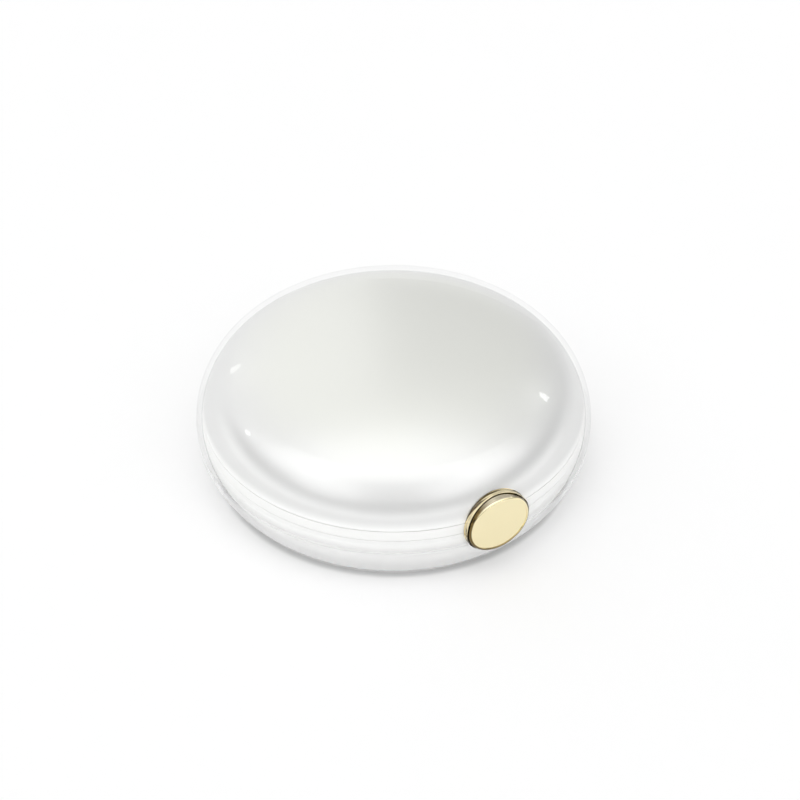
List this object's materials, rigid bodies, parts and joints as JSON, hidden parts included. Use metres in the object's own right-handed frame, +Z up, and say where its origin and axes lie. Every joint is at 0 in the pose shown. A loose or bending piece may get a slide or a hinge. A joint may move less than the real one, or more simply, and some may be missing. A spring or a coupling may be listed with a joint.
{
  "type": "cushion compact",
  "caption": "Round pearl make-up compact with a clear outer skin, mirror lid on a rear hinge, gold oval push clasp, cushion refill under its own lid and a strap puff.",
  "frame": {"origin": "on the floor under the middle of the case", "axes": "+Z up through the dome, -Y to the clasp, +Y to the hinge"},
  "size_m": [0.08, 0.0803, 0.0339],
  "materials": {
    "clear_skin": "clear polished acrylic",
    "pearl_white": "white pearl pigment, gloss",
    "white_moulding": "white moulded ABS",
    "steel": "bright drawn steel",
    "soaked_foam": "fine open foam soaked with beige foundation",
    "silicone": "soft white seal",
    "puff_foam": "smooth dense foam",
    "puff_cloth": "fine knitted backing",
    "satin_strap": "woven satin",
    "mirror": "silvered glass",
    "foam_tape": "double-sided foam tape",
    "pale_gold": "pale gold plating, polished rim",
    "slider_resin": "natural acetal"
  },
  "bodies": {
    "base": {"base_shell": "clear_skin", "base_bowl": "pearl_white", "base_deck": "white_moulding", "hinge_pin": "steel", "refill_case": "white_moulding", "cushion_ring": "white_moulding", "cushion_foam": "soaked_foam", "latch_spring": "steel"},
    "lid": {"lid_shell": "clear_skin", "lid_dome": "pearl_white", "lid_liner": "white_moulding", "mirror": "mirror", "mirror_tape": "foam_tape"},
    "refill_lid": {"inner_lid": "white_moulding", "seal_ring": "silicone", "puff_foam": "puff_foam", "puff_cover": "puff_cloth", "puff_strap": "satin_strap"},
    "clasp": {"push_badge": "pale_gold", "latch_slider": "slider_resin"}
  },
  "joints": [
    {"name": "lid_hinge", "type": "hinge", "parent": "base", "child": "lid", "pos_m": [0, 0.0382, 0.0115], "axis": [-1, 0, 0], "range_deg": [0, 120]},
    {"name": "refill_lid_hinge", "type": "hinge", "parent": "base", "child": "refill_lid", "pos_m": [0, 0.031, 0.0129], "axis": [-1, 0, 0], "range_deg": [0, 96]},
    {"name": "clasp_press", "type": "slide", "parent": "base", "child": "clasp", "axis": [0, 1, 0], "range_m": [0, 0.001], "stiffness_N_per_m": 1500, "springref_m": -0.001, "deforming": ["latch_spring"]}
  ],
  "couplings": [
    {"joint": "refill_lid_hinge", "follows": "lid_hinge", "ratio": 0.8}
  ]
}
